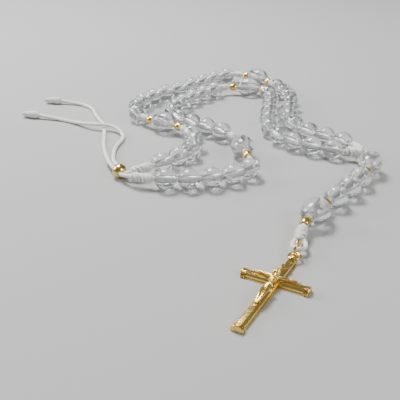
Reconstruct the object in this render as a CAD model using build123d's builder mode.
# A clear-bead rosary on knotted white cord, laid out on a table: two bead strands that
# meet in a junction knot and a sliding clasp, a pendant of five beads, and a crucifix.
# Millimetres. Z = 0 is the table, and the origin is under the middle of the beads.
import os
from math import radians, sqrt, tan

from build123d import *

os.makedirs("parts", exist_ok=True)

# Cord
cord_diameter = 1.7
cord_clearance = 0.3  # all round the cord in a knot, spacer or clasp
end_gap = 0.2  # between two pieces that move against each other

# Small round beads
bead_diameter = 8.6
bead_bore = cord_diameter + 1.1
bead_mouth = bead_bore + 0.6  # the bore opens to this at both ends
mouth_depth = 0.8

# Large oval beads
large_length = 12.0
large_diameter = 9.6
large_bore = cord_diameter + 1.9

# Metal spacer beads
spacer_diameter = 3.8
spacer_length = 3.4

# Knots: length and thickness
strand_knot = (5.2, 3.4)
closure_knot = (7.0, 3.8)
pendant_knot = (5.6, 4.0)
tail_knot = (9.2, 3.7)
junction_knot_diameter = 4.0

# Sliding clasp bead
slider_diameter = 5.8
slider_cord_offset = cord_diameter / 2 + 0.05  # each tail lies this far from the bead's own axis

# Jump ring, eyelet and cord loop
ring_radius = 2.7
ring_wire = 0.85
eyelet_radius = 1.8
eyelet_wire = 0.9
loop_half_width = 2.2

# Crucifix
cross_length = 38.6
cross_span = 21.4
cross_above = 12.7  # from the crossing to the top of the upright
plate_width = 3.4
plate_thickness = 0.5
front_width = 3.0
front_height = 1.4
front_flat = 1.3  # flat along the top of the rounded front
cap_length = 1.5
cap_rise = 0.25
cross_angle = 61.0  # the upright's direction on the table, from +X

# Heights that follow from the sizes above
bead_height = bead_diameter / 2
cord_floor = cord_diameter / 2
cord_over = cord_floor + cord_diameter + 0.45  # where one tail crosses the other
slider_height = slider_diameter / 2
knot_floor = tail_knot[1] / 2
cross_top = plate_thickness + front_height
eyelet_height = plate_thickness + front_height / 2 + 0.35
ring_height = ring_radius + ring_wire / 2 + 0.03
loop_height = ring_height - 0.7

lay_scale = bead_diameter / 8.6  # the routes below suit beads of 8.6


def laid(x, y, *height):
    """A place on the table, spread out as the beads grow."""
    return (x * lay_scale, y * lay_scale, *height)


# Places where the chain bends
junction = Vector(*laid(50.2, -3.2, bead_height))
bend = Vector(*laid(25.3, -50.4, bead_height))
clasp = Vector(*laid(-50.4, -18.8, slider_height))
clasp_angle = 120.0  # the clasp bead's axis on the table, from +X
clasp_axis = Vector(1, 0, 0).rotate(Axis.Z, clasp_angle)
tail_start = clasp - clasp_axis * 2.3
tail_aside = clasp_axis.cross(Vector(0, 0, 1)) * slider_cord_offset
cross_centre = laid(3.4, -93.9)

# The routes of the cord, chosen point by point on the table
front_route = [
    (41.8, -1.6), (31.8, 2.4), (19.8, 10.2), (12.4, 24.2), (14.2, 43.2), (17.2, 63.2),
    (18.0, 77.7), (14.8, 88.0), (-4.7, 91.0), (-16.2, 80.2), (-27.2, 65.7), (-33.6, 50.2),
    (-27.7, 38.2), (-16.7, 28.4), (-4.8, 18.2), (-1.1, 5.2), (0.6, -6.8), (4.4, -16.8),
    (-4.2, -25.0), (-18.2, -29.7), (-35.8, -29.5), (-46.0, -27.1), (-49.6, -22.0),
]
back_route = [
    (45.8, 5.8), (39.3, 13.2), (27.3, 23.2), (22.8, 37.2), (25.8, 56.2), (28.4, 73.2),
    (23.3, 89.2), (19.3, 102.2), (11.3, 111.2), (0.3, 116.8), (-14.2, 103.7), (-27.2, 88.7),
    (-41.4, 76.7), (-50.2, 61.2), (-49.7, 45.2), (-41.7, 36.7), (-27.2, 27.8), (-20.8, 16.2),
    (-20.8, 1.7), (-28.2, -9.3), (-37.5, -16.6), (-44.8, -22.7), (-48.05, -21.1),
]
pendant_route = [(50.2, -3.2), (51.1, -10.8), (47.4, -20.2), (36.0, -37.6), (26.5, -48.8)]
drop_route = [
    laid(26.2, -49.2, bead_height), laid(16.0, -63.7, bead_height), laid(13.4, -71.4, loop_height),
]
right_tail_route = [
    (*(tail_start + tail_aside),), laid(-53.3, -11.9, slider_height), laid(-55.8, 1.7, cord_floor),
    laid(-53.8, 14.2, cord_floor), laid(-52.8, 25.2, cord_floor), laid(-59.2, 35.7, cord_over),
    laid(-68.7, 38.8, cord_over), laid(-79.2, 43.2, cord_floor), laid(-87.2, 48.2, cord_floor),
    laid(-98.2, 51.2, knot_floor),
]
left_tail_route = [
    (*(tail_start - tail_aside),), laid(-54.9, -12.8, slider_height), laid(-58.0, -0.3, cord_floor),
    laid(-61.8, 13.2, cord_floor), laid(-63.2, 28.2, cord_floor), laid(-65.0, 41.2, cord_floor),
    laid(-71.4, 52.7, cord_floor), laid(-76.0, 65.7, cord_floor), laid(-85.2, 72.2, cord_floor),
    laid(-94.7, 73.0, knot_floor),
]

cross_plane = Plane(origin=cross_centre).rotated((0, 0, cross_angle - 90))
eyelet_reach = cross_above + eyelet_radius + eyelet_wire / 2
ring_reach = eyelet_reach + eyelet_radius + eyelet_wire / 2
loop_reach = ring_reach + 1.05


def raised(points, height, end_height):
    """The flat points at one height, and the last one at its own."""
    *most, last = points
    return [laid(*point, height) for point in most] + [laid(*last, end_height)]


def corner_radii(points):
    """The radius of the arc that joins each pair of runs."""
    corners = [Vector(*point) for point in points]
    radii = []
    for before, here, after in zip(corners, corners[1:], corners[2:]):
        arriving = here - before
        leaving = after - here
        half_turn = radians(arriving.get_angle(leaving)) / 2
        radii.append(0.45 * min(arriving.length, leaving.length) / tan(half_turn))
    return radii


def cord_line(points):
    """Straight runs joined by tangent arcs."""
    with BuildLine() as line:
        FilletPolyline(*points, radius=corner_radii(points))
    return line.wire()


def cord_tube(label, points, diameter):
    """A round cord along its route."""
    line = cord_line(points)
    with BuildPart() as tube:
        with BuildSketch(Plane(origin=line @ 0, z_dir=line % 0)):
            Circle(diameter / 2)
        sweep(path=line)
    radii = ", ".join(f"{radius:.1f}" for radius in corner_radii(points))
    print(f"{label}: {line.length:.1f} mm long, radii {radii}")
    save(tube, label)
    return line


def save(builder, label):
    """Name the piece and write it to its own file."""
    builder.part.label = label
    export_step(builder.part, f"parts/{label}.step")


def seat(line, station, length, height=None):
    """A plane in the middle of a piece threaded on the cord, its Z axis along the cord."""
    near = line.position_at(station - length / 2, position_mode=PositionMode.LENGTH)
    far = line.position_at(station + length / 2, position_mode=PositionMode.LENGTH)
    middle = line.position_at(station, position_mode=PositionMode.LENGTH)
    centre = (near + far) / 4 + middle / 2
    if height is not None:
        centre = Vector(centre.X, centre.Y, height)
    return Plane(origin=centre, z_dir=far - near)


def turned_piece(label, profile, seats):
    """Copies of one turned piece, threaded on the cord at the given seats."""
    with BuildPart() as turned:
        with Locations(*seats):
            add(profile)
    save(turned, label)


# Shapes that are threaded on the cord, each turned about Z
with BuildPart() as bead:
    Sphere(bead_diameter / 2)
    Cylinder(bead_bore / 2, bead_diameter, mode=Mode.SUBTRACT)
    with Locations((0, 0, bead_diameter / 2 - mouth_depth)):
        Cone(bead_bore / 2, bead_mouth / 2, mouth_depth, align=(Align.CENTER, Align.CENTER, Align.MIN),
             mode=Mode.SUBTRACT)
    mirror(about=Plane.XY, mode=Mode.INTERSECT)

large_taper = sqrt(1 - (large_bore / large_diameter) ** 2)  # the bore cuts the oval's tips off
with BuildPart() as large_bead:
    with BuildSketch(Plane.XZ):
        Ellipse(large_diameter / 2, large_length / 2 / large_taper)
        with Locations((-large_diameter, 0)):
            Rectangle(2 * large_diameter + large_bore, 2 * large_length, mode=Mode.SUBTRACT)
    revolve(axis=Axis.Z)

with BuildPart() as spacer:
    Sphere(spacer_diameter / 2)
    Cylinder(spacer_diameter, spacer_length, mode=Mode.INTERSECT)
    Cylinder(cord_diameter / 2 + cord_clearance, spacer_diameter, mode=Mode.SUBTRACT)


def wrapped_knot(length, thickness, bore):
    """A barrel of wrapped cord, rounded at both ends, round a bore for the cord."""
    with BuildPart() as knot:
        Cylinder(thickness / 2, length)
        fillet(knot.edges().filter_by(GeomType.CIRCLE), 0.3 * thickness)
        if bore:
            Cylinder(bore / 2, length, mode=Mode.SUBTRACT)
    return knot.part


knot_bore = cord_diameter + 2 * cord_clearance
strand_knot_piece = wrapped_knot(*strand_knot, knot_bore)
closure_knot_piece = wrapped_knot(*closure_knot, knot_bore)

pieces = {
    "bead": (bead.part, bead_diameter, None),
    "large": (large_bead.part, large_length, large_diameter / 2),
    "spacer": (spacer.part, spacer_length, None),
    "knot": (strand_knot_piece, strand_knot[0], None),
    "closure": (closure_knot_piece, closure_knot[0], None),
}

# What each strand carries, in order: node, piece, how many, and the gap before each
front_string = [
    ("decade_front_a", "bead", 1, 1.0),
    ("decade_front_a", "bead", 3, 0.3),
    ("decade_front_a", "bead", 2, 2.4),
    ("decade_front_a", "bead", 4, 1.7),
    ("spacers_front_a", "spacer", 1, 1.3),
    ("large_bead_front_a", "large", 1, 0.65),
    ("spacers_front_a", "spacer", 1, 0.65),
    ("knot_front_a", "knot", 1, 0.2),
    ("decade_front_b", "bead", 10, 0.25),
    ("knot_front_b", "knot", 1, 0.3),
    ("spacers_front_b", "spacer", 1, 1.6),
    ("large_bead_front_b", "large", 1, 0.7),
    ("spacers_front_b", "spacer", 1, 0.5),
    ("half_decade_front", "bead", 1, 9.2),
    ("half_decade_front", "bead", 4, 0.2),
    ("closure_knot_front", "closure", 1, 0.3),
]
back_string = [
    ("decade_back_a", "bead", 3, 0.25),
    ("decade_back_a", "bead", 5, 2.2),
    ("decade_back_a", "bead", 2, 0.2),
    ("knot_back_a", "knot", 1, 0.2),
    ("spacers_back_a", "spacer", 1, 0.2),
    ("large_bead_back_a", "large", 1, 0.4),
    ("spacers_back_a", "spacer", 1, 0.4),
    ("knot_back_b", "knot", 1, 0.2),
    ("decade_back_b", "bead", 10, 0.85),
    ("knot_back_c", "knot", 1, 0.2),
    ("spacers_back_b", "spacer", 1, 0.2),
    ("large_bead_back_b", "large", 1, 0.5),
    ("spacers_back_b", "spacer", 1, 0.4),
    ("knot_back_d", "knot", 1, 0.2),
    ("half_decade_back", "bead", 1, 0.2),
    ("half_decade_back", "bead", 2, 1.2),
    ("half_decade_back", "bead", 2, 0.2),
    ("closure_knot_back", "closure", 1, 0.3),
]


def thread(line, start, string):
    """Thread the pieces on the cord one after another, as far as the cord reaches."""
    seats = {}
    station = start
    for label, kind, count, gap in string:
        piece, length, height = pieces[kind]
        for _ in range(count):
            centre = station + gap + length / 2
            station = centre + length / 2
            if station < line.length:
                seats.setdefault(label, (piece, []))[1].append(seat(line, centre, length, height))
    for label, (piece, places) in seats.items():
        turned_piece(label, piece, places)


def solid_knot(tip, base, length, thickness):
    """A barrel of wrapped cord from its base towards its tip."""
    axis = (tip - base).normalized()
    barrel = wrapped_knot(length, thickness, None)
    return Plane(origin=base + axis * length / 2, z_dir=axis) * barrel


def limb(start, end, start_radius, end_radius):
    """A tapered limb between two joints, in the part being built."""
    start = Vector(*start)
    end = Vector(*end)
    with Locations(Plane(origin=start, z_dir=end - start)):
        Cone(start_radius, end_radius, (end - start).length,
             align=(Align.CENTER, Align.CENTER, Align.MIN))
    with Locations(start):
        Sphere(start_radius)
    with Locations(end):
        Sphere(end_radius)


# The two bead strands
front_line = cord_tube("cord_front", raised(front_route, bead_height, slider_height), cord_diameter)
thread(front_line, 0, front_string)
back_line = cord_tube("cord_back", raised(back_route, bead_height, slider_height), cord_diameter)
thread(back_line, 0, back_string)

# The junction: the ends of both strands and the pendant are wrapped together here
stub_top = junction - Vector(2.8, 0, 1.3)
stub_foot = junction - Vector(3.2, 2.6, 3.3)
with BuildPart() as junction_knot:
    for base in (front_line @ 0, back_line @ 0):
        reach = junction - base
        add(solid_knot(junction, base, reach.length - 1.4, junction_knot_diameter))
    with Locations(Plane(origin=stub_top, z_dir=stub_foot - stub_top)):
        Cylinder(cord_diameter / 2, (stub_foot - stub_top).length,
                 align=(Align.CENTER, Align.CENTER, Align.MIN))
    with Locations(junction):
        Sphere(cord_diameter / 2 + 2 * end_gap, mode=Mode.SUBTRACT)
save(junction_knot, "junction_knot")

# The upper pendant: a large bead, a spacer and three round beads
pendant_points = raised(pendant_route, bead_height, bead_height)
pendant_line = cord_line(pendant_points)
with BuildPart() as cord_pendant:
    with BuildSketch(Plane(origin=pendant_line @ 0, z_dir=pendant_line % 0)):
        Circle(cord_diameter / 2)
    sweep(path=pendant_line)
    with Locations(junction):
        Sphere(cord_diameter / 2)
    with Locations(bend):
        Sphere(spacer_diameter / 2 + end_gap, mode=Mode.SUBTRACT)
save(cord_pendant, "cord_pendant")
print(f"cord_pendant: {pendant_line.length:.1f} mm long, radii "
      + ", ".join(f"{radius:.1f}" for radius in corner_radii(pendant_points)))
thread(pendant_line, 5.9, [
    ("large_bead_junction", "large", 1, 0.7),
    ("spacer_pendant", "spacer", 1, 0.3),
    ("pendant_bead_1", "bead", 1, 0.6),
    ("pendant_bead_2", "bead", 1, 1.7),
    ("pendant_bead_3", "bead", 1, 1.7),
])

# The lower pendant: a large bead between two spacers, and the knot that ties the loop
drop_line = cord_tube("cord_drop", drop_route, cord_diameter)
bend_station = (bend - drop_line @ 0).length
with BuildPart() as spacer_bend:
    with Locations(Plane(origin=bend, z_dir=drop_line % 0)):
        add(spacer.part)
save(spacer_bend, "spacer_bend")
thread(drop_line, bend_station + spacer_length / 2, [
    ("large_bead_cross", "large", 1, 0.4),
    ("spacer_drop", "spacer", 1, 0.2),
])
with BuildPart() as knot_pendant:
    with Locations(seat(drop_line, drop_line.length - pendant_knot[0] / 2, pendant_knot[0])):
        add(wrapped_knot(*pendant_knot, knot_bore))
save(knot_pendant, "knot_pendant")

# The cord loop that hangs from the knot
loop_tip = cross_plane.from_local_coords((0, loop_reach, loop_height))
loop_back = drop_line @ 1 - loop_tip
loop_plane = Plane(origin=loop_tip, x_dir=loop_back, z_dir=(0, 0, 1))
leg_end = loop_back.length + 0.3
loop_outline = [
    (leg_end, 1.1), (0.55 * leg_end, loop_half_width + 0.4), (0, loop_half_width + 0.1),
    (0, -loop_half_width - 0.1), (0.55 * leg_end, -loop_half_width - 0.4), (leg_end, -1.1),
]
with BuildPart() as cord_loop:
    with BuildLine(loop_plane) as loop_line:
        FilletPolyline(*loop_outline, radius=[4.0, loop_half_width - 0.1, loop_half_width - 0.1, 4.0])
    loop_wire = loop_line.wire()
    with BuildSketch(Plane(origin=loop_wire @ 0, z_dir=loop_wire % 0)):
        Circle(cord_diameter / 2)
    sweep(path=loop_wire)
save(cord_loop, "cord_loop")

# The jump ring stands on edge through the loop and the eyelet
ring_centre = cross_plane.from_local_coords((0, ring_reach, ring_height))
with BuildPart() as jump_ring:
    with Locations(Plane(origin=ring_centre, z_dir=cross_plane.x_dir)):
        Torus(ring_radius, ring_wire / 2)
save(jump_ring, "jump_ring")

# The crucifix lies on its back plate, its foot towards -Y
eyelet_centre = (0, eyelet_reach, eyelet_height)
with BuildPart(cross_plane) as eyelet:
    with Locations(eyelet_centre):
        Torus(eyelet_radius, eyelet_wire / 2)
    with Locations((0, cross_above, eyelet_height)):
        Box(1.8, 0.9, eyelet_wire, align=(Align.CENTER, Align.MIN, Align.CENTER))
save(eyelet, "crucifix_eyelet")

bar_foot = cross_above - cross_length + cap_length
bar_tip = cross_span / 2 - cap_length
with BuildPart() as back_plate:
    with BuildSketch(cross_plane):
        with Locations((0, bar_foot)):
            Rectangle(plate_width, cross_above - bar_foot, align=(Align.CENTER, Align.MIN))
        Rectangle(2 * bar_tip, plate_width)
    extrude(amount=plate_thickness)
save(back_plate, "crucifix_back_plate")


def bar_profile(width, height):
    """The rounded section of the crucifix: upright sides, then arcs up to a flat top."""
    half = width / 2
    with BuildSketch() as section:
        with BuildLine():
            Polyline((-half, 0), (half, 0), (half, 0.35 * height))
            ThreePointArc((half, 0.35 * height), (0.5 * half + 0.25 * front_flat + 0.12, 0.8 * height),
                          (front_flat / 2, height))
            Line((front_flat / 2, height), (-front_flat / 2, height))
            ThreePointArc((-front_flat / 2, height), (-0.5 * half - 0.25 * front_flat - 0.12, 0.8 * height),
                          (-half, 0.35 * height))
            Line((-half, 0.35 * height), (-half, 0))
        make_face()
    return section.sketch


def bar_end(x, y, height, towards):
    """A plane across a bar, looking along it, with its Y axis up."""
    origin = cross_plane.from_local_coords((x, y, height))
    axis = cross_plane.from_local_coords((x + towards[0], y + towards[1], height)) - origin
    return Plane(origin=origin, x_dir=Vector(0, 0, 1).cross(axis) * -1, z_dir=axis * -1)


with BuildPart() as front:
    with BuildSketch(bar_end(0, bar_foot, plate_thickness, (0, -1))):
        add(bar_profile(front_width, front_height))
    extrude(amount=cross_above - bar_foot)
    with BuildSketch(bar_end(-bar_tip, 0, plate_thickness, (-1, 0))):
        add(bar_profile(front_width, front_height))
    extrude(amount=2 * bar_tip)
save(front, "crucifix_front")

cap_width = plate_width + 2 * cap_rise
cap_height = cross_top + cap_rise
with BuildPart() as end_caps:
    for x, y, towards in ((0, bar_foot, (0, 1)), (bar_tip, 0, (-1, 0)), (-bar_tip, 0, (1, 0))):
        with BuildSketch(bar_end(x, y, 0, towards)):
            add(bar_profile(cap_width, cap_height))
        extrude(amount=cap_length)
save(end_caps, "crucifix_end_caps")

# The figure on the cross, and the blank scroll above it
skin = cross_top + 0.05
with BuildPart(cross_plane) as corpus:
    limb((0, -0.9, skin + 1.1), (0, -5.6, skin + 1.0), 1.1, 0.95)
    limb((0, -5.8, skin + 1.0), (0.1, -8.0, skin + 1.0), 1.0, 0.95)
    limb((0, -0.6, skin + 1.1), (-0.2, 1.0, skin + 1.7), 0.55, 0.5)
    with Locations((-0.25, 1.5, skin + 1.8)):
        Sphere(1.05)
    for side in (-1, 1):
        limb((1.2 * side, -0.4, skin + 0.85), (4.2 * side, 0.3, skin + 0.6), 0.6, 0.48)
        limb((4.2 * side, 0.3, skin + 0.6), (7.4 * side, 0.7, skin + 0.42), 0.48, 0.36)
        limb((0.5 * side, -8.0, skin + 0.95), (0.55 * side + 0.3, -11.2, skin + 1.1), 0.7, 0.55)
        limb((0.55 * side + 0.3, -11.2, skin + 1.1), (0.3 * side, -14.6, skin + 0.6), 0.55, 0.4)
    limb((0, -14.6, skin + 0.55), (0, -15.8, skin + 0.45), 0.5, 0.4)
save(corpus, "corpus")

with BuildPart(cross_plane.offset(cross_top)) as scroll:
    with Locations((0, 7.6, 0)):
        Box(2.6, 1.5, 0.3, align=(Align.CENTER, Align.CENTER, Align.MIN))
    fillet(scroll.edges().filter_by(Axis.Z), 0.2)
save(scroll, "title_scroll")

# The sliding clasp bead, and the two tails that run through it
with BuildPart() as clasp_bead:
    Sphere(slider_diameter / 2)
    Cylinder(slider_cord_offset + cord_diameter / 2 + 0.15, slider_diameter, mode=Mode.SUBTRACT)
turned_piece("clasp_slider", clasp_bead.part, [Plane(origin=clasp, z_dir=clasp_axis)])

for side, route in (("right", right_tail_route), ("left", left_tail_route)):
    tail_line = cord_tube(f"tail_{side}", route, cord_diameter)
    with BuildPart() as knot_tail:
        ahead = tail_line % 1
        level = Vector(ahead.X, ahead.Y, 0)
        base = tail_line @ 1 - level.normalized() * end_gap
        add(solid_knot(base + level, base, *tail_knot))
    save(knot_tail, f"tail_knot_{side}")
